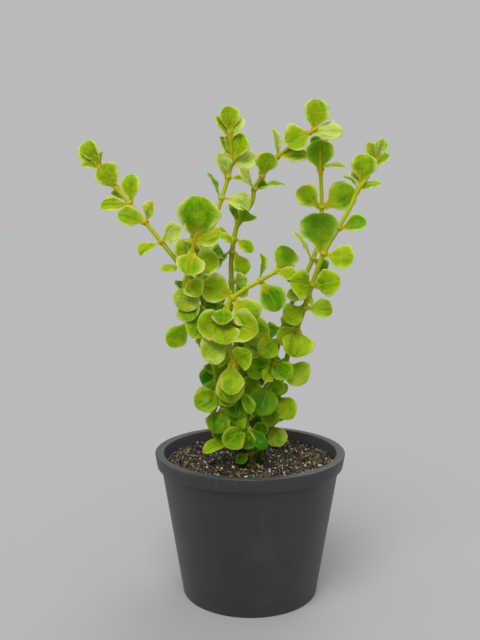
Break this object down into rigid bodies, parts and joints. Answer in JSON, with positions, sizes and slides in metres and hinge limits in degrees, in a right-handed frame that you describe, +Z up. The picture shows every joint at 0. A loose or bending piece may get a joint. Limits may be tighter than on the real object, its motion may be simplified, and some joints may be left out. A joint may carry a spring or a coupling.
{
  "type": "potted rotala rotundifolia",
  "caption": "Bunch of leafy aquarium plant stems with small round opposite leaves, growing from dark gravel in a plain round pot.",
  "frame": {"origin": "centre of the pot's flat underside", "axes": "+Z up along the pot's axis; +X to the right and +Y away from the viewer, as the picture shows the bunch fanned out left and right"},
  "size_m": [0.1027, 0.066, 0.1691],
  "materials": {
    "pot": "dark grey moulded plastic, satin, faint vertical flow marks",
    "gravel": "dark mixed gravel, black and brown grains with tan, grey and white ones, damp",
    "stem": "fleshy green to olive plant stem, yellow-orange at the joints, satin",
    "leaf": "living leaf, bright yellow-green above, paler margin and underside, satin, translucent"
  },
  "bodies": {
    "root": {"pot": "pot", "gravel": "gravel", "far_left_stem": "stem", "far_left_leaf_pair_1": "leaf", "far_left_leaf_pair_2": "leaf", "far_left_leaf_pair_3": "leaf", "far_left_leaf_pair_4": "leaf", "far_left_leaf_pair_5": "leaf", "far_left_leaf_pair_6": "leaf", "far_left_leaf_pair_7": "leaf", "far_left_leaf_pair_8": "leaf", "far_left_leaf_pair_9": "leaf", "mid_left_stem": "stem", "mid_left_leaf_pair_1": "leaf", "mid_left_leaf_pair_2": "leaf", "mid_left_leaf_pair_3": "leaf", "mid_left_leaf_pair_4": "leaf", "mid_left_leaf_pair_5": "leaf", "mid_left_leaf_pair_6": "leaf", "upper_left_stem": "stem", "upper_left_leaf_pair_1": "leaf", "upper_left_leaf_pair_2": "leaf", "upper_left_leaf_pair_3": "leaf", "upper_left_leaf_pair_4": "leaf", "upper_left_leaf_pair_5": "leaf", "upper_left_leaf_pair_6": "leaf", "upper_left_leaf_pair_7": "leaf", "upper_left_leaf_pair_8": "leaf", "middle_stem": "stem", "middle_leaf_pair_1": "leaf", "middle_leaf_pair_2": "leaf", "middle_leaf_pair_3": "leaf", "middle_leaf_pair_4": "leaf", "middle_leaf_pair_5": "leaf", "middle_leaf_pair_6": "leaf", "middle_leaf_pair_7": "leaf", "middle_leaf_pair_8": "leaf", "short_right_stem": "stem", "short_right_leaf_pair_1": "leaf", "short_right_leaf_pair_2": "leaf", "short_right_leaf_pair_3": "leaf", "short_right_leaf_pair_4": "leaf", "short_right_leaf_pair_5": "leaf", "short_right_leaf_pair_6": "leaf", "inner_right_stem": "stem", "inner_right_leaf_pair_1": "leaf", "inner_right_leaf_pair_2": "leaf", "inner_right_leaf_pair_3": "leaf", "inner_right_leaf_pair_4": "leaf", "inner_right_leaf_pair_5": "leaf", "inner_right_leaf_pair_6": "leaf", "far_right_stem": "stem", "far_right_leaf_pair_1": "leaf", "far_right_leaf_pair_2": "leaf", "far_right_leaf_pair_3": "leaf", "far_right_leaf_pair_4": "leaf", "far_right_leaf_pair_5": "leaf", "far_right_leaf_pair_6": "leaf", "far_right_leaf_pair_7": "leaf", "far_right_leaf_pair_8": "leaf"}
  },
  "joints": []
}
